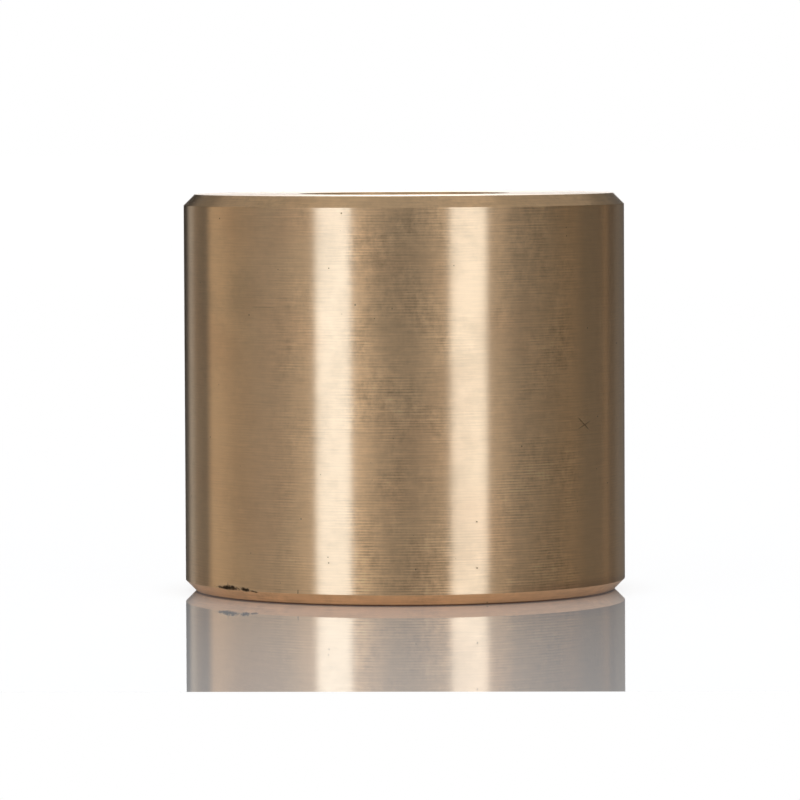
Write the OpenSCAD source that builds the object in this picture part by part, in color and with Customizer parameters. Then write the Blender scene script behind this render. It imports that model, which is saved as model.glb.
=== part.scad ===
// Lead screw nut: a plain round bronze nut with a right-hand trapezoidal thread through it.
// Millimetres. The thread runs along Z, and the origin is the centre of the lower end face.

/* [Body] */
// Outside diameter
outer_d = 40; // [28:0.5:80]
// Length from one end face to the other
nut_len = 36; // [12:0.5:72]
// Leg of the 45 degree chamfer round the outside of each end
edge_chamfer = 1; // [0.2:0.1:3]

/* [Thread] */
// Nominal diameter of the screw that the nut runs on
screw_d = 18; // [12:0.5:30]
// Rise of the thread in one turn
pitch = 4; // [2:0.5:6]
// Slope of a flank, from the plane square to the axis
flank_angle = 15; // [10:0.5:20]
// Radial gap between the screw's crest and the bottom of the nut's groove
root_gap = 0.25; // [0.1:0.05:0.5]

/* [Thread mouths] */
// Radial step from the bottom of the groove out to the countersink's rim
mouth_step = 0.35; // [0.1:0.05:1.5]
// Included angle of the countersink
mouth_angle = 90; // [60:5:120]

/* [Smoothness] */
// Straight stretches in one turn of the groove
stretches_per_turn = 48; // [24:4:72]

/* [Hidden] */
$fn = 128;
bronze = [0.71, 0.58, 0.43];
outer_r = outer_d / 2;
// Inside radius of the nut's teeth
crest_r = (screw_d - pitch) / 2;
// Radius at which a tooth is as wide as the groove beside it
pitch_r = (screw_d - pitch / 2) / 2;
// Radius of the bottom of the groove
root_r = screw_d / 2 + root_gap;
mouth_r = root_r + mouth_step;
mouth_depth = (mouth_r - crest_r) / tan(mouth_angle / 2);
// The groove's cutter reaches this far inside the teeth, so that it opens the groove fully
cutter_reach = 0.5;
cutter_r = crest_r - cutter_reach;
// The cutter runs this many turns past each end face
run_out_turns = 1;

// Half the groove's width at radius r: it narrows towards the bottom along both flanks
function groove_half_width(r) = pitch / 4 - (r - pitch_r) * tan(flank_angle);

// The groove's section as [radius, height] corners, in order round it
function groove_section() = [
    [cutter_r, -groove_half_width(cutter_r)],
    [cutter_r, groove_half_width(cutter_r)],
    [root_r, groove_half_width(root_r)],
    [root_r, -groove_half_width(root_r)]
];

// A section corner carried along the right-hand helix: angle 0 is at height 0
function on_helix(corner, angle) = [
    corner[0] * cos(angle),
    corner[0] * sin(angle),
    corner[1] + pitch * angle / 360
];

// Wall of the nut in section, with its chamfers outside and its countersinks inside
module wall_section() {
    polygon([
        [crest_r, mouth_depth],
        [mouth_r, 0],
        [outer_r - edge_chamfer, 0],
        [outer_r, edge_chamfer],
        [outer_r, nut_len - edge_chamfer],
        [outer_r - edge_chamfer, nut_len],
        [mouth_r, nut_len],
        [crest_r, nut_len - mouth_depth]
    ]);
}

// The helical groove: its section swept ring by ring, past both end faces
module thread_groove() {
    section = groove_section();
    corners = len(section);
    turns = nut_len / pitch + 2 * run_out_turns;
    last = ceil(turns * stretches_per_turn);
    rings = [
        for (i = [0 : last])
            for (corner = section)
                on_helix(corner, 360 * (i / stretches_per_turn - run_out_turns))
    ];
    start_cap = [for (k = [0 : corners - 1]) k];
    end_cap = [for (k = [corners - 1 : -1 : 0]) last * corners + k];
    sides = [
        for (i = [0 : last - 1])
            for (k = [0 : corners - 1])
                let (a = i * corners + k, b = i * corners + (k + 1) % corners)
                    [a, a + corners, b + corners, b]
    ];
    polyhedron(points = rings, faces = concat([start_cap], sides, [end_cap]), convexity = 20);
}

// The turned blank with its thread cut
module nut() {
    color(bronze)
        difference() {
            rotate_extrude()
                wall_section();
            thread_groove();
        }
}

nut();
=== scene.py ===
"""Looks for a plain round bronze lead screw nut that stands on its end on a glossy white sheet.

Lengths are written in millimetres and turned into metres where a mesh or a place is made.
Angles round the nut are turns about Z from +X. The front of the nut faces -Y.
"""
import math

import bmesh
import bpy
from mathutils import Matrix, Vector, noise


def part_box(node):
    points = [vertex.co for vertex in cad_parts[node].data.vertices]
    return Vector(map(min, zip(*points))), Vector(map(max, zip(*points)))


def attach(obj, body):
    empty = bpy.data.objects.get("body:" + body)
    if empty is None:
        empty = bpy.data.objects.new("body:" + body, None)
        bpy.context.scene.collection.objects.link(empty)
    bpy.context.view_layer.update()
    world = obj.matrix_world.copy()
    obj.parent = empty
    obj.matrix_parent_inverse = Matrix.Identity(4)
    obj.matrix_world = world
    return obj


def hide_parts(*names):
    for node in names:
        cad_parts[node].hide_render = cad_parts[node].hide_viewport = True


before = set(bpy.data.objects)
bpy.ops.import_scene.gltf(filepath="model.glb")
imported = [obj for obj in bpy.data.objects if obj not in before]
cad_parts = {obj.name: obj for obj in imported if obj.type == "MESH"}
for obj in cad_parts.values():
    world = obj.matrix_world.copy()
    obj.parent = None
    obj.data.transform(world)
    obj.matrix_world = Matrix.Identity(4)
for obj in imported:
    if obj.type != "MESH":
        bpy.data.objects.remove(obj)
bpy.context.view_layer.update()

MM = 0.001
FULL_TURN = 2 * math.pi
QUARTER_TURN = 0.25        # as a share of a turn

# Sizes of the nut, from the frame and from its standard thread
nut_low, nut_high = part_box("nut")
OUTER_R = min(nut_high.x, nut_high.y) / MM
NUT_LEN = (nut_high.z - nut_low.z) / MM
EDGE_CHAMFER = 1.0
SCREW_D = 18.0
PITCH = 4.0
FLANK_ANGLE = math.radians(15)
ROOT_GAP = 0.25
MOUTH_STEP = 0.35
CREST_R = (SCREW_D - PITCH) / 2
PITCH_R = (SCREW_D - PITCH / 2) / 2
ROOT_R = SCREW_D / 2 + ROOT_GAP
MOUTH_R = ROOT_R + MOUTH_STEP
MOUTH_DEPTH = MOUTH_R - CREST_R

# The cutter of the thread: how far it starts inside the teeth, its corners there, and the turns
# that it runs out past each end
CUTTER_INSIDE = 0.8
CUTTER_BREAK = 0.05
SPARE_TURNS = 1

# Radii of the broken edges, and the distance from an edge to the ring that holds its faces flat
SHARP_BREAK = 0.06
BASE_BREAK = 0.10
MOUTH_BREAK = 0.08
ROOT_FILLET = 0.18
HOLD = 0.12

# Fineness of the mesh
CORNER_STEPS = 4
COLUMNS = 384
THREAD_STRETCHES = 96
SMOOTH_BELOW = math.radians(32)

# The torn spot on the lower edge of the wall: its middle, its reach each way round and up, its depth
SCUFF_TURN = math.radians(-140.4)
SCUFF_REACH = math.radians(8.6)
SCUFF_HEIGHT = 1.15
SCUFF_RISE = 0.4
SCUFF_DEPTH = 0.08
SCUFF_SKIN = 0.5           # points this far inside the wall stay where they are

# Its ragged floor: how fine it is round the nut and up it, and the share of the depth it keeps
RAGGED_ROUND = 2.6
RAGGED_UP = 5.0
RAGGED_MEAN = 0.55

# Its finer mesh: columns for each column elsewhere, and rows up from the lower edge of the wall
SCUFF_SPLIT = 4
SCUFF_ROWS = 8
SCUFF_ROW_STEP = 0.07

# Finishes of the nut, in the order of its materials
WALL, ENDS, CHAMFERS, THREAD = range(4)
FACING_UP = 0.97           # least share of Z in the normal of an end face
SLANTING = 0.3             # and in that of a chamfer
INSIDE_MOUTH = 0.02        # faces of the bore lie at least this far inside the rim of the mouth
INSIDE_END = 0.01          # and this far from the ends


# ---------------------------------------------------------------- shape of the nut

def round_corners(corners):
    """Closed outline through corners given as (r, z, radius).

    Each corner is rounded, with a holding point on both sides.
    """
    outline = []
    for i, (r, z, radius) in enumerate(corners):
        corner = Vector((r, z))
        back = (Vector(corners[i - 1][:2]) - corner).normalized()
        ahead = (Vector(corners[(i + 1) % len(corners)][:2]) - corner).normalized()
        half = back.angle(ahead) / 2
        reach = radius / math.tan(half)
        centre = corner + (back + ahead).normalized() * (radius / math.sin(half))
        start = (corner + back * reach - centre).normalized()
        end = (corner + ahead * reach - centre).normalized()
        outline.append(corner + back * (reach + HOLD))
        for k in range(CORNER_STEPS + 1):
            outline.append(centre + start.slerp(end, k / CORNER_STEPS) * radius)
        outline.append(corner + ahead * (reach + HOLD))
    return outline


def wall_outline():
    """Half section of the nut, from the mouth of the lower end round the outside."""
    side = OUTER_R - EDGE_CHAMFER
    return round_corners([
        (MOUTH_R, 0, MOUTH_BREAK),
        (side, 0, BASE_BREAK),
        (OUTER_R, EDGE_CHAMFER, SHARP_BREAK),
        (OUTER_R, NUT_LEN - EDGE_CHAMFER, SHARP_BREAK),
        (side, NUT_LEN, SHARP_BREAK),
        (MOUTH_R, NUT_LEN, MOUTH_BREAK),
        (CREST_R, NUT_LEN - MOUTH_DEPTH, MOUTH_BREAK),
        (CREST_R, MOUTH_DEPTH, MOUTH_BREAK),
    ])


def scuff_near(turn):
    """How far inside the torn spot a turn lies: 1 in its middle and 0 from its ends on."""
    away = abs((turn - SCUFF_TURN + math.pi) % FULL_TURN - math.pi)
    return max(0.0, 1 - (away / SCUFF_REACH) ** 2)


def column_turns():
    """Angles of the columns round the nut, closer together across the torn spot."""
    turns = []
    step = FULL_TURN / COLUMNS
    for i in range(COLUMNS):
        turn = SCUFF_TURN + math.pi + step * i
        parts = SCUFF_SPLIT if scuff_near(turn) > 0 or scuff_near(turn + step) > 0 else 1
        turns += [turn + step * k / parts for k in range(parts)]
    return turns


def add_rows(outline):
    """The outline with closer points up the stretch of wall that the torn spot takes."""
    rows = []
    for a, b in zip(outline, outline[1:] + outline[:1]):
        rows.append(a)
        if b.y - a.y > NUT_LEN / 2 and min(a.x, b.x) > OUTER_R - HOLD:
            rows += [Vector((OUTER_R, a.y + SCUFF_ROW_STEP * k)) for k in range(1, SCUFF_ROWS + 1)]
    return rows


def scuffed(r, z, turn):
    """Radius of a point of the section after the torn spot is pushed in."""
    rise = 1 - abs(z - SCUFF_HEIGHT) / SCUFF_RISE
    if rise <= 0 or r <= OUTER_R - SCUFF_SKIN:
        return r
    spot = Vector((turn * OUTER_R * RAGGED_ROUND, z * RAGGED_UP, 0))
    ragged = max(0, RAGGED_MEAN + noise.noise(spot))
    return r - SCUFF_DEPTH * rise * scuff_near(turn) * ragged


def join_rings(built, rings):
    """Faces between each ring of points and the next."""
    count = len(rings[0])
    for ring, following in zip(rings, rings[1:]):
        for i in range(count):
            j = (i + 1) % count
            built.faces.new((ring[i], following[i], following[j], ring[j]))


def turned_body():
    """The nut without its thread: the half section turned round Z, with the torn spot pushed in."""
    outline = add_rows(wall_outline())
    body = bmesh.new()
    rings = []
    for turn in column_turns():
        ring = []
        for point in outline:
            r = scuffed(point.x, point.y, turn)
            ring.append(body.verts.new((r * math.cos(turn), r * math.sin(turn), point.y)))
        rings.append(ring)
    join_rings(body, rings + rings[:1])
    return finished_mesh(body, "turned_body")


def groove_section():
    """Section of the thread's cutter: out from inside the bore, up a flank, along the root and back."""
    def half_width(r):
        return PITCH / 4 - (r - PITCH_R) * math.tan(FLANK_ANGLE)

    inner = CREST_R - CUTTER_INSIDE
    return round_corners([
        (inner, -half_width(inner), CUTTER_BREAK),
        (ROOT_R, -half_width(ROOT_R), ROOT_FILLET),
        (ROOT_R, half_width(ROOT_R), ROOT_FILLET),
        (inner, half_width(inner), CUTTER_BREAK),
    ])


def thread_cutter():
    """A right-hand helical sweep of the groove's section that runs out past both ends."""
    section = groove_section()
    cutter = bmesh.new()
    turns = math.ceil(NUT_LEN / PITCH) + 2 * SPARE_TURNS
    rings = []
    for i in range(turns * THREAD_STRETCHES + 1):
        turn = FULL_TURN * i / THREAD_STRETCHES
        lift = PITCH * (turn / FULL_TURN - SPARE_TURNS)
        c, s = math.cos(turn), math.sin(turn)
        rings.append([cutter.verts.new((p.x * c, p.x * s, p.y + lift)) for p in section])
    join_rings(cutter, rings)
    cutter.faces.new(rings[0])
    cutter.faces.new(list(reversed(rings[-1])))
    return finished_mesh(cutter, "thread_cutter")


def finished_mesh(built, name):
    """An object made from a bmesh in millimetres, with its faces turned outwards."""
    bmesh.ops.recalc_face_normals(built, faces=built.faces)
    bmesh.ops.scale(built, vec=(MM, MM, MM), verts=built.verts)
    mesh = bpy.data.meshes.new(name)
    built.to_mesh(mesh)
    built.free()
    return placed(name, mesh)


def placed(name, data):
    """A new object in the scene that shows a mesh or a camera."""
    made = bpy.data.objects.new(name, data)
    bpy.context.collection.objects.link(made)
    return made


def cut_thread(body, cutter):
    """Takes the cutter out of the body and leaves one plain mesh."""
    cut = body.modifiers.new("thread", "BOOLEAN")
    cut.operation = "DIFFERENCE"
    cut.solver = "MANIFOLD"
    cut.object = cutter
    ready = bpy.context.evaluated_depsgraph_get()
    mesh = bpy.data.meshes.new_from_object(body.evaluated_get(ready))
    body.modifiers.clear()
    body.data = mesh
    bpy.data.objects.remove(cutter)
    return body


def finish_of(face):
    """Index of the finish of a face."""
    centre = face.center / MM
    in_mouth = math.hypot(centre.x, centre.y) < MOUTH_R - INSIDE_MOUTH
    if in_mouth and INSIDE_END < centre.z < NUT_LEN - INSIDE_END:
        return THREAD
    if abs(face.normal.z) > FACING_UP:
        return ENDS
    if abs(face.normal.z) > SLANTING:
        return CHAMFERS
    return WALL


# ---------------------------------------------------------------- node graphs

def colour(r, g, b):
    """An opaque colour for a socket."""
    return (r, g, b, 1.0)


WHITE = colour(1, 1, 1)
MIX_FIRST, MIX_SECOND, MIX_RESULT = 6, 7, 2    # the sockets of a Mix node that carry colours


class Graph:
    """Short calls that add nodes to a tree. Each returns the socket that carries its result."""

    def __init__(self, tree):
        self.tree = tree
        tree.nodes.clear()

    def node(self, kind, inputs=(), **settings):
        """The one call that returns the node itself."""
        made = self.tree.nodes.new(kind)
        for name, value in settings.items():
            setattr(made, name, value)
        for name, value in dict(inputs).items():
            self.feed(made.inputs[name], value)
        return made

    def feed(self, socket, value):
        """Sets a socket to a value, or links it to the socket that the value comes from."""
        if isinstance(value, bpy.types.NodeSocket):
            self.tree.links.new(value, socket)
        else:
            socket.default_value = value

    def math(self, operation, *values):
        return self.node("ShaderNodeMath", enumerate(values), operation=operation).outputs[0]

    def times(self, a, b):
        return self.math("MULTIPLY", a, b)

    def plus(self, a, b):
        return self.math("ADD", a, b)

    def least(self, a, b):
        return self.math("MINIMUM", a, b)

    def most(self, a, b):
        return self.math("MAXIMUM", a, b)

    def vector(self, x, y, z):
        return self.node("ShaderNodeCombineXYZ", {"X": x, "Y": y, "Z": z}).outputs[0]

    def split(self, vector):
        return self.node("ShaderNodeSeparateXYZ", {"Vector": vector}).outputs

    def place(self, kind):
        """Where a ray hits, such as Object or Generated."""
        return self.node("ShaderNodeTexCoord").outputs[kind]

    def step(self, value, start, end, low=0.0, high=1.0):
        """Runs smoothly from low to high while value runs from start to end."""
        inputs = {"Value": value, "From Min": start, "From Max": end, "To Min": low, "To Max": high}
        return self.node("ShaderNodeMapRange", inputs, interpolation_type="SMOOTHSTEP").outputs[0]

    def between(self, value, start, end, soft):
        """1 from start to end and 0 outside, over soft edges."""
        rise = self.step(value, start - soft, start + soft)
        fall = self.step(value, end - soft, end + soft, 1.0, 0.0)
        return self.times(rise, fall)

    def noise(self, place, scale, detail=2.0, roughness=0.5, fourth=None):
        inputs = {"Vector": place, "Scale": scale, "Detail": detail, "Roughness": roughness}
        if fourth is None:
            return self.node("ShaderNodeTexNoise", inputs).outputs[0]
        inputs["W"] = fourth
        return self.node("ShaderNodeTexNoise", inputs, noise_dimensions="4D").outputs[0]

    def swing(self, texture, strength):
        """A texture that runs from 0 to 1, brought round 0 and made as strong as asked."""
        return self.times(self.plus(texture, -0.5), strength)

    def blend(self, amount, a, b, how="MIX"):
        """Colour a turned into colour b by an amount."""
        made = self.node("ShaderNodeMix", data_type="RGBA", blend_type=how)
        self.feed(made.inputs[0], amount)
        self.feed(made.inputs[MIX_FIRST], a)
        self.feed(made.inputs[MIX_SECOND], b)
        return made.outputs[MIX_RESULT]

    def shaded(self, shade, amount):
        """A colour made darker or lighter by an amount, 1 for no change."""
        return self.blend(1.0, shade, self.vector(amount, amount, amount), "MULTIPLY")

    def mixed_shader(self, amount, a, b):
        """Shader a turned into shader b by an amount."""
        return self.node("ShaderNodeMixShader", {0: amount, 1: a, 2: b}).outputs[0]

    def seen_by(self):
        """1 for camera rays, and 1 for the rays of mirror images and clear things."""
        path = self.node("ShaderNodeLightPath").outputs
        return path["Is Camera Ray"], self.most(path["Is Glossy Ray"], path["Is Transmission Ray"])


# ---------------------------------------------------------------- turned bronze

CLEAN = colour(0.86, 0.66, 0.44)
TARNISHED = colour(0.68, 0.53, 0.355)
RUDDY = colour(0.80, 0.56, 0.36)
# Painted ruddy reflection of the floor on the lower chamfer
PAINTED_RUDDY_REFLECTION = colour(0.88, 0.55, 0.30)
SOOT = colour(0.045, 0.035, 0.02)
# Painted contact shadow at the foot
PAINTED_CONTACT_SHADOW = colour(0.16, 0.07, 0.03)
BROWNED = colour(0.85, 0.605, 0.36)
# Painted shade of the lower end on its right side
PAINTED_SHADE_LOW_RIGHT = colour(0.62, 0.42, 0.27)

# Noises of the turned surface: how much they are pressed together across Z, which draws them out round
# the nut, their scale and their roughness
FINE_LINES = (0.05, 7.5, 0.6)
BROAD_LINES = (0.06, 1.3, 0.5)
DASHES = (0.25, 3.1, 0.6)

# Feed marks: advance of the tool in one turn, how far they waver, and how faint and how bold they get
FEED = 0.25
FEED_WAVER = 3.0
FEED_PARTS = (0.4, 1.5)

# Coarseness of the texture from place to place: its noise, and how fine and coarse it gets
COARSE_SCALE = 0.2
COARSE_PARTS = (0.7, 1.3)
WALL_COARSENESS = 0.5
MID_NOISE = (0.35, 0.65)       # noise between these runs through what it steers

# Tarnish: scale, detail and roughness of its two noises, how much flatter the fine one is, the share of
# the broad one, and the levels between which it runs from none to full
BLOTCHES = (0.16, 4.0, 0.62)
FINE_BLOTCHES = (0.9, 3.0, 0.6)
FINE_FLATTENED = 2.2
BLOTCH_SHARE = 0.7
TARNISH_LEVELS = (0.42, 0.66)

# Ruddy patches, the painted ruddy reflection of the floor on the lower end and the painted contact
# shadow at the foot
RUDDY_SCALE = 0.11
RUDDY_LEVELS = (0.45, 0.7)
RUDDY_SHARE = 0.35
RUDDY_REFLECTION_TOP = (1.5, 2.5)
CONTACT_SHADOW_TOP = (0.05, 0.15)
CONTACT_SHADOW_SHARE = 0.92

# The browner side of the wall, to the right of the front: from, to and soft edge
BROWNED_SIDE = [math.radians(degrees) for degrees in (-54, 50, 11)]

# Painted shade on the right of the lower end: from, to and soft edge, its height, and how dark it is
SHADED_SIDE = [math.radians(degrees) for degrees in (-60, 20, 16)]
SHADED_TOP = (0.9, 2.0)
SHADE_ON_WALL = 0.85
SHADE_ON_CHAMFER = 0.45

# Mottling of the turned surface: scale, detail and roughness of its noise, and how much it is drawn out
MOTTLE = (1.2, 4.0, 0.70)
MOTTLE_DRAWN = 0.7

# How much each texture changes the shade of the bronze. Feed marks are strongest low on the wall.
SHADE_LINES = 0.46
SHADE_DASHES = 0.10
SHADE_BROAD = 0.03
SHADE_MOTTLE = 0.36
SHADE_FEED = (0.06, 0.033)
FEED_HEIGHTS = (5.0, 20.0)

# How much each texture shapes the surface, against the fine lines at 1
RELIEF_BROAD = 0.8
RELIEF_FEED = 0.12
RELIEF_DARK = -4.0

# Pits: cells in a millimetre, largest size in them, soft rim, darkness, and where their clusters are
PITS_PER_MM = 1.1
PIT_RADIUS = 0.08
PIT_EDGE = 0.02
PIT_DARKNESS = 0.65
PITTED_CELLS = (0.5, 1.0)
CLUSTER_SCALE = 0.3
CLUSTER_LEVELS = (0.48, 0.56)

# How much rougher tarnish is, and how rough dark marks are
ROUGHER_CLOUD = 0.04
ROUGH_DARK = 0.75

# Rims: where clouds, marks and the torn spot fade out, and how ragged clouds and the spot are
CLOUD_RIM = (0.0, 1.3)
CLOUD_RAGGED = 2.4
MARK_RIM = (0.5, 1.6)
TORN_RIM = (0.55, 1.25)
TORN_RAGGED = 6.0
TORN_DARKNESS = 0.95
TORN_NOISE = (6.0, 3.0, 0.8)
TORN_DRAWN = (1.3, 0.9)

# Darker clouds on the wall: turn in degrees, height, half width, half height, how dark
CLOUDS = [
    (-90.5, 28.5, 3.4, 8.5, 0.55),
    (-113.0, 31.0, 2.4, 4.5, 0.30),
    (-78.0, 8.0, 2.5, 5.0, 0.25),
    (-64.0, 24.0, 2.6, 7.0, 0.25),
    (-135.4, 27.2, 2.6, 2.8, 0.65),
]

# Where the wall's texture is coarser, or finer with a minus: from, to and soft edge in degrees, change
COARSER = [
    (-125, -40, 5, 1.0),
    (-104, -79, 3, 0.35),
    (-66, -40, 4, 0.3),
    (-113.5, -105, 1.5, -0.38),
    (-78, -68, 1.5, -0.38),
]

# The torn spot: turn in degrees, height, half length, half width, lean in degrees
TORN = [
    (-142.3, 1.10, 1.75, 0.14, -1),
    (-141.7, 1.14, 1.00, 0.21, 0),
    (-135.5, 1.08, 0.62, 0.17, -4),
    (-132.2, 0.98, 0.42, 0.07, -8),
    (-142.3, 1.42, 0.04, 0.22, 0),
]

# Small marks on the wall: turn in degrees, height, half length, half width, lean in degrees, how dark
MARKS = [
    (-118.3, 1.15, 0.22, 0.035, 88, 0.75),
    (-59.0, 13.9, 0.06, 0.06, 0, 0.75),
    (-37.2, 15.6, 0.95, 0.07, -35, 0.50),
    (-36.9, 15.5, 0.90, 0.06, 19, 0.40),
    (-109.3, 29.7, 0.06, 0.05, 0, 0.75),
    (-102.4, 26.5, 0.08, 0.08, 0, 0.55),
    (-109.7, 3.8, 0.05, 0.05, 0, 0.75),
    (-109.9, 4.3, 0.05, 0.05, 0, 0.65),
    (-77.4, 29.9, 0.05, 0.05, 0, 0.65),
    (-97.5, 25.3, 0.06, 0.05, 0, 0.6),
    (-128.5, 26.2, 1.2, 0.06, 0, 0.18),
]


class Finish(Graph):
    """Node tree of one finish of the nut, which knows the place on the nut in millimetres."""

    def __init__(self, tree, wall, foot):
        """wall gives the wall's own clouds and marks, and foot the torn spot of the lower end and the
        painted shade on its right side.
        """
        super().__init__(tree)
        self.wall = wall
        self.foot = foot
        metres = self.place("Object")
        grown = self.node("ShaderNodeVectorMath", {0: metres, "Scale": 1 / MM}, operation="SCALE")
        self.spot = grown.outputs[0]
        self.x, self.y, self.z = self.split(self.spot)
        squares = self.plus(self.times(self.x, self.x), self.times(self.y, self.y))
        self.radius = self.math("SQRT", squares)
        self.turn = self.math("ARCTAN2", self.y, self.x)

    def drawn(self, across, up):
        """The place on the nut, drawn out or pressed together across Z and along Z."""
        x, y = self.times(self.x, across), self.times(self.y, across)
        return self.vector(x, y, self.times(self.z, up))

    def along_cut(self, across, scale, roughness):
        """Noise that is long round the nut and narrow across the cut."""
        return self.noise(self.drawn(across, 1.0), scale, roughness=roughness, fourth=self.radius)

    def oval(self, place):
        """Squared distance from the middle of an oval on the wall, 1 on its rim."""
        degrees, height, half_length, half_width, lean = place
        across = self.times(self.plus(self.turn, -math.radians(degrees)), OUTER_R)
        rise = self.plus(self.z, -height)
        c, s = math.cos(math.radians(lean)), math.sin(math.radians(lean))
        u = self.times(self.plus(self.times(across, c), self.times(rise, s)), 1 / half_length)
        v = self.times(self.plus(self.times(across, -s), self.times(rise, c)), 1 / half_width)
        return self.plus(self.times(u, u), self.times(v, v))

    def coarseness(self):
        """How coarse the texture is from place to place."""
        coarse = self.step(self.noise(self.spot, COARSE_SCALE), *MID_NOISE, *COARSE_PARTS)
        if self.wall:
            coarse = self.times(coarse, WALL_COARSENESS)
            for *side, change in COARSER:
                part = self.between(self.turn, *[math.radians(degrees) for degrees in side])
                coarse = self.times(coarse, self.plus(1.0, self.times(part, change)))
        return coarse

    def feed_marks(self, broad, dashes, coarse):
        """One even line for each turn of the work, stronger in places.

        It winds up the wall. On the other finishes the tool moved inwards as well.
        """
        along = self.z if self.wall else self.plus(self.z, self.times(self.radius, -1.0))
        phase = self.plus(self.times(along, FULL_TURN / FEED), self.times(self.turn, -1.0))
        feed = self.math("SINE", self.plus(phase, self.times(broad, FEED_WAVER)))
        feed = self.times(feed, self.step(dashes, *MID_NOISE, *FEED_PARTS))
        return self.times(feed, self.times(coarse, coarse))

    def tarnish(self, stain):
        """Blotches of tarnish and faint runs round the nut, and the wall's own clouds."""
        blotch = self.noise(self.spot, *BLOTCHES)
        fine_blotch = self.noise(self.drawn(1.0, FINE_FLATTENED), *FINE_BLOTCHES)
        both = self.plus(self.times(blotch, BLOTCH_SHARE), self.times(fine_blotch, 1 - BLOTCH_SHARE))
        cloud = self.times(self.step(both, *TARNISH_LEVELS), stain)
        if self.wall:
            for *place, strength in CLOUDS:
                away = self.plus(self.oval((*place, 0)), self.swing(fine_blotch, CLOUD_RAGGED))
                cloud = self.plus(cloud, self.step(away, *CLOUD_RIM, strength, 0.0))
        return self.least(cloud, 1.0)

    def metal(self, cloud, ruddy_reflection_amount):
        """Colour of the bronze before its texture, with the painted ruddy reflection and the painted
        shade of the lower end.
        """
        ruddy = self.step(self.noise(self.spot, RUDDY_SCALE), *RUDDY_LEVELS)
        base = self.blend(cloud, CLEAN, TARNISHED)
        base = self.blend(self.times(ruddy, RUDDY_SHARE), base, RUDDY)
        if self.wall:
            base = self.blend(self.between(self.turn, *BROWNED_SIDE), base, BROWNED)
        # Painted reflection: the lower chamfer takes a ruddy tint that stands in for light bounced
        # between the bronze and the floor.
        if ruddy_reflection_amount:
            low = self.step(self.z, *RUDDY_REFLECTION_TOP, ruddy_reflection_amount, 0.0)
            base = self.blend(low, base, PAINTED_RUDDY_REFLECTION)
        # Painted shade: the right side of the lower end is darkened towards a dull brown.
        if self.foot:
            low = self.step(self.z, *SHADED_TOP, SHADE_ON_WALL if self.wall else SHADE_ON_CHAMFER, 0.0)
            base = self.blend(self.times(self.between(self.turn, *SHADED_SIDE), low), base, PAINTED_SHADE_LOW_RIGHT)
        return base

    def texture_shade(self, lines, dashes, broad, feed, coarse):
        """How light or dark the texture makes the bronze, round 1."""
        stripes = self.plus(self.swing(lines, SHADE_LINES), self.swing(dashes, SHADE_DASHES))
        shade = self.plus(1.0, self.times(stripes, coarse))
        shade = self.plus(shade, self.swing(broad, SHADE_BROAD))
        shade = self.plus(shade, self.times(feed, self.step(self.z, *FEED_HEIGHTS, *SHADE_FEED)))
        mottle = self.swing(self.noise(self.drawn(1.0, MOTTLE_DRAWN), *MOTTLE), SHADE_MOTTLE)
        return self.plus(shade, self.times(mottle, self.times(coarse, coarse)))

    def pits(self):
        """Small pits in clusters."""
        cells = self.node("ShaderNodeTexVoronoi", {"Vector": self.spot, "Scale": PITS_PER_MM})
        cell_value = self.node("ShaderNodeSeparateColor", {"Color": cells.outputs["Color"]}).outputs[0]
        pit_size = self.step(cell_value, *PITTED_CELLS, 0.0, PIT_RADIUS)
        past_rim = self.math("SUBTRACT", cells.outputs["Distance"], pit_size)
        clusters = self.step(self.noise(self.spot, CLUSTER_SCALE, detail=1.0), *CLUSTER_LEVELS)
        return self.times(self.step(past_rim, -PIT_EDGE, PIT_EDGE, 1.0, 0.0), clusters)

    def dark_marks(self):
        """Pits everywhere, the torn spot on the foot, and the wall's small marks."""
        dark = self.times(self.pits(), PIT_DARKNESS)
        if self.foot:
            ragged = self.swing(self.noise(self.drawn(*TORN_DRAWN), *TORN_NOISE), TORN_RAGGED)
            for place in TORN:
                away = self.plus(self.oval(place), ragged)
                dark = self.most(dark, self.step(away, *TORN_RIM, TORN_DARKNESS, 0.0))
        if self.wall:
            for *place, strength in MARKS:
                dark = self.most(dark, self.step(self.oval(place), *MARK_RIM, strength, 0.0))
        return dark


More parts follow.
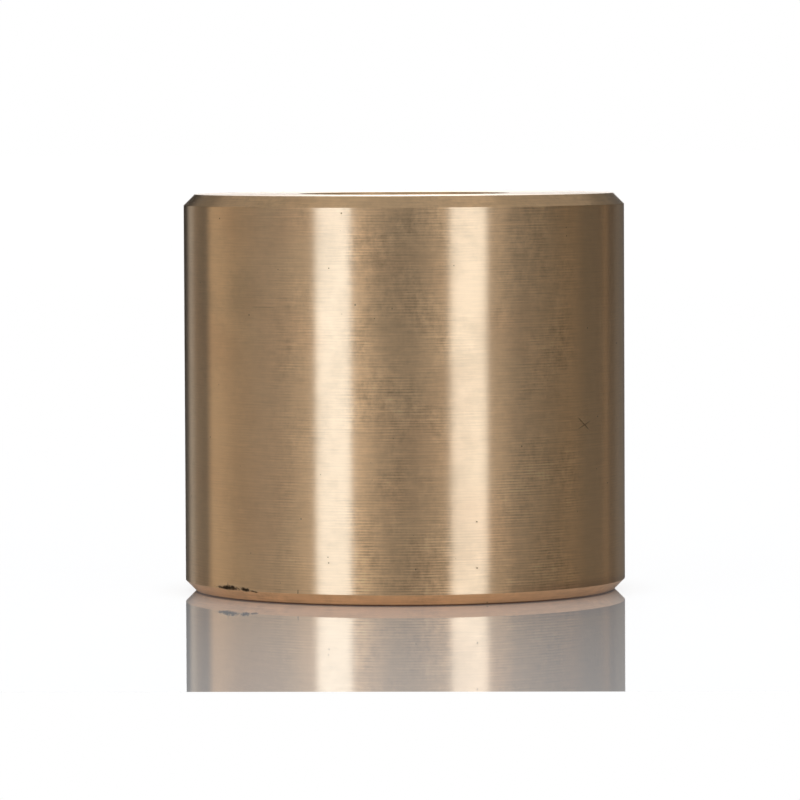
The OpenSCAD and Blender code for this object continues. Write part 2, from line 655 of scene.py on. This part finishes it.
def turned_bronze(name, rough, anisotropy, line_depth, stain, wall=False, ruddy_reflection_amount=0.0):
    """Bronze with fine lathe lines, blotches of tarnish and small pits.

    line_depth is the depth of the lathe lines and stain is how much tarnish there is. The wall also
    has its clouds and marks. ruddy_reflection_amount paints a ruddy reflection of the floor on the lower
    end; where it is set, the foot also gets a painted contact shadow, the torn spot and the painted
    shade of its right side.
    """
    made = bpy.data.materials.new(name)
    made.use_nodes = True
    g = Finish(made.node_tree, wall, foot=wall or ruddy_reflection_amount > 0)
    lines = g.along_cut(*FINE_LINES)
    broad = g.along_cut(*BROAD_LINES)
    dashes = g.along_cut(*DASHES)
    coarse = g.coarseness()
    feed = g.feed_marks(broad, dashes, coarse)
    cloud = g.tarnish(stain)
    dark = g.dark_marks()

    base = g.shaded(g.metal(cloud, ruddy_reflection_amount), g.texture_shade(lines, dashes, broad, feed, coarse))
    # Painted contact shadow: the lowest 0.15 mm of the foot is blended towards a dark brown.
    if ruddy_reflection_amount:
        base = g.blend(g.step(g.z, *CONTACT_SHADOW_TOP, CONTACT_SHADOW_SHARE, 0.0), base, PAINTED_CONTACT_SHADOW)
    base = g.blend(dark, base, SOOT)

    rough = g.plus(rough, g.times(cloud, ROUGHER_CLOUD))
    rough = g.most(rough, g.times(dark, ROUGH_DARK))
    height = g.plus(g.times(lines, coarse), g.times(broad, RELIEF_BROAD))
    height = g.plus(height, g.times(feed, RELIEF_FEED))
    height = g.plus(height, g.times(dark, RELIEF_DARK))
    bump = g.node("ShaderNodeBump", {"Height": height, "Distance": line_depth * MM, "Strength": 1.0})
    shader = g.node("ShaderNodeBsdfPrincipled", {
        "Base Color": base,
        "Metallic": 1.0,
        "Roughness": rough,
        "Anisotropic": anisotropy,
        "Anisotropic Rotation": QUARTER_TURN,
        "Normal": bump.outputs[0],
        "Tangent": g.node("ShaderNodeTangent", direction_type="RADIAL", axis="Z").outputs[0],
    })
    g.node("ShaderNodeOutputMaterial", {"Surface": shader.outputs[0]})
    return made


# ---------------------------------------------------------------- the nut

# In the order WALL, ENDS, CHAMFERS, THREAD
FINISHES = [
    dict(name="turned_wall", rough=0.277, anisotropy=1.0, line_depth=0.0026, stain=0.5, wall=True),
    dict(name="faced_ends", rough=0.28, anisotropy=0.83, line_depth=0.0025, stain=0.5),
    # The chamfers carry the painted ruddy reflection of the floor on the lower end.
    dict(name="chamfers", rough=0.28, anisotropy=0.83, line_depth=0.0016, stain=0.6, ruddy_reflection_amount=0.8),
    dict(name="cut_thread", rough=0.32, anisotropy=0.7, line_depth=0.0020, stain=0.7),
]

nut = cut_thread(turned_body(), thread_cutter())
nut.name = "bronze_nut"
nut.data.name = "bronze_nut"
nut.data.materials.clear()
for finish in FINISHES:
    nut.data.materials.append(turned_bronze(**finish))
for face in nut.data.polygons:
    face.material_index = finish_of(face)
nut.data.shade_smooth()
nut.data.set_sharp_from_angle(angle=SMOOTH_BELOW)
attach(nut, "root")
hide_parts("nut")


# ---------------------------------------------------------------- sheet and table

# Front edge of the glossy sheet: how far it is ahead of the nut's axis, and how much more to the right
SHEET_FRONT = 95.6
SHEET_SKEW = 0.035

# How far the floor reaches to each side, to the back and to the front
FLOOR_SIDE = 3000
FLOOR_BACK = 6000
FLOOR_FRONT = 4000

PAPER = colour(0.9, 0.9, 0.9)
GRAIN_SCALE = 400.0        # grains in a metre
GRAIN = (0.985, 0.03)      # shade of the darkest grain, and how much lighter the others get
GLOW = colour(0.54, 0.60, 0.67)
GLOW_MIRRORED = 0.17       # share of the glow that mirrored rays see
# The fade of the glow near the nut is a painted contact shadow.
CONTACT_REACH = 4.0        # the glow fades this near to the nut
CONTACT_SAMPLES = 8
GLOSS = 1.32               # strength of the clear gloss against plain glass
GLOSS_IOR = 1.5
GLOSS_ROUGHNESS = 0.02


def flat_sheet(name, front, back):
    """A level sheet on the floor between two lines, each given by its Y at its left and right end."""
    corners = [
        (-FLOOR_SIDE, front[0]),
        (FLOOR_SIDE, front[1]),
        (FLOOR_SIDE, back[1]),
        (-FLOOR_SIDE, back[0]),
    ]
    mesh = bpy.data.meshes.new(name)
    mesh.from_pydata([(x * MM, y * MM, 0) for x, y in corners], [], [(0, 1, 2, 3)])
    return placed(name, mesh)


def pale_floor(name, plain_white=False):
    """Pale matte floor under a clear gloss that grows towards grazing.

    A camera ray sees the matte part lifted by a glow, which fades close to the nut as a painted
    contact shadow, and mirrored rays see a share of that glow. With plain_white a camera ray sees plain
    white instead.
    """
    made = bpy.data.materials.new(name)
    made.use_nodes = True
    g = Graph(made.node_tree)
    camera_ray, mirrored = g.seen_by()
    darkest, lighter = GRAIN
    tone = g.plus(darkest, g.times(g.noise(g.place("Object"), GRAIN_SCALE), lighter))
    matte = g.node("ShaderNodeBsdfDiffuse", {"Color": g.shaded(PAPER, tone)})
    # Painted contact shadow: ambient occlusion fades the glow near the nut.
    reach = {"Distance": CONTACT_REACH * MM}
    open_sky = g.node("ShaderNodeAmbientOcclusion", reach, samples=CONTACT_SAMPLES).outputs["AO"]
    share = g.most(g.times(camera_ray, open_sky), g.times(mirrored, GLOW_MIRRORED))
    glow = g.node("ShaderNodeEmission", {"Color": GLOW, "Strength": share})
    surface = g.node("ShaderNodeAddShader", {0: matte.outputs[0], 1: glow.outputs[0]}).outputs[0]
    gloss = g.node("ShaderNodeBsdfGlossy", {"Color": WHITE, "Roughness": GLOSS_ROUGHNESS})
    edge_on = g.times(g.node("ShaderNodeFresnel", {"IOR": GLOSS_IOR}).outputs[0], GLOSS)
    surface = g.mixed_shader(g.least(edge_on, 1.0), surface, gloss.outputs[0])
    if plain_white:
        white = g.node("ShaderNodeEmission", {"Color": WHITE, "Strength": 1.0})
        surface = g.mixed_shader(camera_ray, surface, white.outputs[0])
    g.node("ShaderNodeOutputMaterial", {"Surface": surface})
    return made


sheet_edge = [-SHEET_FRONT - SHEET_SKEW * x for x in (-FLOOR_SIDE, FLOOR_SIDE)]
glossy_sheet = flat_sheet("glossy_sheet", sheet_edge, (FLOOR_BACK, FLOOR_BACK))
glossy_sheet.data.materials.append(pale_floor("white_gloss"))
table = flat_sheet("table", (-FLOOR_FRONT, -FLOOR_FRONT), sheet_edge)
table.data.materials.append(pale_floor("white_table", plain_white=True))


# ---------------------------------------------------------------- light

CIRCLE = 360               # degrees

# Strength of the room round the nut: turn in degrees from the camera's side, to the right, and strength
ROOM = [
    (-166, 0.02), (-158, 0.03), (-150, 0.36), (-140, 0.14), (-126, 0.045), (-121, 0.50),
    (-112, 0.42), (-98, 0.27), (-84, 0.24), (-66, 0.26), (-58, 0.40), (-51, 0.52),
    (-24, 0.70), (-17, 0.43), (-9, 0.24), (-1, 0.155), (5, 0.15), (14, 0.34),
    (22, 0.52), (51, 0.38), (61, 0.11), (84, 0.03), (96, 0.07), (103, 0.06),
    (109, 0.01), (125, 0.02), (131, 0.13), (137, 0.01), (149, 0.09), (160, 0.10),
]

# Tints of the room, and the degrees over which each takes the place of the one before
WARM = colour(1.0, 0.835, 0.69)
WARM_RIGHT = colour(1.0, 0.78, 0.56)
WARM_RIGHT_FROM = (45, 75)
WARMER = colour(1.0, 0.76, 0.52)
WARMER_RIGHT = colour(1.0, 0.66, 0.36)
WARMER_FROM = (75, 100)
MIDDLE = (-1, 1)           # the left side gives way to the right side
GREY = colour(1.0, 0.94, 0.86)
GREY_FROM = (140, 146)

# The dim wall above the backdrop: where it starts, in turn away from the camera's side and in lift
BACK_WALL = colour(0.17, 0.15, 0.125)
BACK_WALL_FROM = (105, 135)
BACK_WALL_LIFT = (13, 20)

# Upright cards: from and to in degrees from the camera's side, soft edge, colour
CARDS = [
    (-46.8, -28.0, 0.5, colour(2.10, 2.34, 2.76)),
    (24.2, 43.4, 0.5, colour(2.02, 2.16, 2.42)),
]
CARD_FADE = (5, 24, 1.0, 0.45)    # from and to in degrees of lift, strength below and above

# The bank of light over the room: its lift with its soft edge, and where its front gives way to its back
BANK_FRONT = colour(0.60, 0.53, 0.46)
BANK_BACK = colour(0.33, 0.29, 0.245)
BANK_LIFT = (30, 60, 4)
BANK_BACK_FROM = (80, 115)

# The white backdrop behind the nut, and the lamp over it
BACKDROP_FROM = (172.8, 174.8)
BACK_LAMP = colour(2.6, 2.7, 2.9)
BACK_LAMP_FROM = (171.5, 175.0)
BACK_LAMP_LIFT = (9, 14)

# Overhead: where it starts and where its edge gives way to its middle, and a streak with soft edges
OVERHEAD_EDGE = colour(0.50, 0.435, 0.36)
OVERHEAD = colour(0.28, 0.245, 0.205)
OVERHEAD_FROM = (58, 66)
OVERHEAD_MIDDLE = (70, 84)
STREAK = colour(0.86, 0.73, 0.62)
STREAK_TURN = (98, 112, 5)
STREAK_LIFT = (66, 79, 3)


class Sky(Graph):
    """Node tree of the world, which knows the direction of a ray.

    turn is its angle in degrees from the camera's side, to the right, away is the same to either
    side, and lift is its angle above level.
    """

    def __init__(self, tree):
        super().__init__(tree)
        x, y, z = self.split(self.place("Generated"))
        self.turn = self.times(self.math("ARCTAN2", x, self.times(y, -1.0)), math.degrees(1))
        self.lift = self.times(self.math("ARCSINE", z), math.degrees(1))
        self.away = self.math("ABSOLUTE", self.turn)

    def room(self):
        """Walls of the room, with their tints and the dim wall at the back."""
        part_of_turn = self.plus(self.times(self.turn, 1 / CIRCLE), 0.5)
        strength = self.node("ShaderNodeValToRGB", {"Fac": part_of_turn})
        stops = strength.color_ramp.elements
        while len(stops) < len(ROOM):
            stops.new(0.5)
        for stop, (degrees, level) in zip(stops, ROOM):
            stop.position = degrees / CIRCLE + 0.5
            stop.color = colour(level, level, level)
        warmer = self.blend(self.step(self.turn, *MIDDLE), WARMER, WARMER_RIGHT)
        tint = self.blend(self.step(self.turn, *WARM_RIGHT_FROM), WARM, WARM_RIGHT)
        tint = self.blend(self.step(self.away, *WARMER_FROM), tint, warmer)
        tint = self.blend(self.step(self.away, *GREY_FROM), tint, GREY)
        room = self.blend(1.0, tint, strength.outputs[0], "MULTIPLY")
        dim = self.times(self.step(self.away, *BACK_WALL_FROM), self.step(self.lift, *BACK_WALL_LIFT))
        return self.blend(dim, room, BACK_WALL)

    def with_cards(self, room):
        """The room with its upright cards, which are dimmer higher up."""
        fade = self.step(self.lift, *CARD_FADE)
        for start, end, soft, shade in CARDS:
            card = self.shaded(shade, fade)
            room = self.blend(self.between(self.turn, start, end, soft), room, card)
        return room

    def with_lamps(self, room):
        """The room with the bank of light round it and the lamp over the backdrop."""
        bank = self.blend(self.step(self.away, *BANK_BACK_FROM), BANK_FRONT, BANK_BACK)
        room = self.blend(self.between(self.lift, *BANK_LIFT), room, bank)
        lamp = self.times(self.step(self.away, *BACK_LAMP_FROM), self.step(self.lift, *BACK_LAMP_LIFT))
        return self.blend(lamp, room, BACK_LAMP)

    def with_overhead(self, room):
        """The room with the light overhead and its streak."""
        overhead = self.blend(self.step(self.lift, *OVERHEAD_MIDDLE), OVERHEAD_EDGE, OVERHEAD)
        streak = self.times(self.between(self.turn, *STREAK_TURN), self.between(self.lift, *STREAK_LIFT))
        overhead = self.blend(streak, overhead, STREAK)
        return self.blend(self.step(self.lift, *OVERHEAD_FROM), room, overhead)

    def backdrop(self):
        """1 where the white backdrop stands behind the nut."""
        below_lamp = self.step(self.lift, *BACK_LAMP_LIFT, 1.0, 0.0)
        return self.times(self.step(self.away, *BACKDROP_FROM), below_lamp)


def studio(world):
    """A dim warm room with two upright cards, a white backdrop behind the nut and light above.

    Camera rays see the white backdrop all round. Metal and sheet mirror it where it stands.
    """
    world.use_nodes = True
    g = Sky(world.node_tree)
    room = g.with_overhead(g.with_lamps(g.with_cards(g.room())))
    light = g.node("ShaderNodeBackground", {"Color": room, "Strength": 1.0})
    white = g.node("ShaderNodeBackground", {"Color": WHITE, "Strength": 1.0})
    camera_ray, mirrored = g.seen_by()
    seen = g.most(camera_ray, g.times(mirrored, g.backdrop()))
    surface = g.mixed_shader(seen, light.outputs[0], white.outputs[0])
    g.node("ShaderNodeOutputWorld", {"Surface": surface})


scene = bpy.context.scene
scene.world = bpy.data.worlds.new("studio")
studio(scene.world)
scene.view_settings.view_transform = "Standard"


# ---------------------------------------------------------------- camera

# Place of the camera in front of the nut's axis, its angles in radians, and its sensor and lens
CAMERA_AWAY = 530.0
CAMERA_HEIGHT = 42.93
CAMERA_YAW = -0.0008
CAMERA_PITCH = 0.048516
CAMERA_ROLL = -0.004488
SENSOR = 36.0
LENS = 262.43
NEAREST = 10.0
FARTHEST = 50000.0

camera = placed("camera", bpy.data.cameras.new("camera"))
camera.data.sensor_width = SENSOR
camera.data.lens = LENS
camera.data.clip_start = NEAREST * MM
camera.data.clip_end = FARTHEST * MM
facing = Vector((
    math.sin(CAMERA_YAW) * math.cos(CAMERA_PITCH),
    math.cos(CAMERA_YAW) * math.cos(CAMERA_PITCH),
    -math.sin(CAMERA_PITCH),
))
level = facing.cross(Vector((0, 0, 1))).normalized()
upright = level.cross(facing)
right = level * math.cos(CAMERA_ROLL) + upright * math.sin(CAMERA_ROLL)
up = upright * math.cos(CAMERA_ROLL) - level * math.sin(CAMERA_ROLL)
camera.matrix_world = Matrix((
    (right.x, up.x, -facing.x, 0),
    (right.y, up.y, -facing.y, -CAMERA_AWAY * MM),
    (right.z, up.z, -facing.z, CAMERA_HEIGHT * MM),
    (0, 0, 0, 1),
))
scene.camera = camera
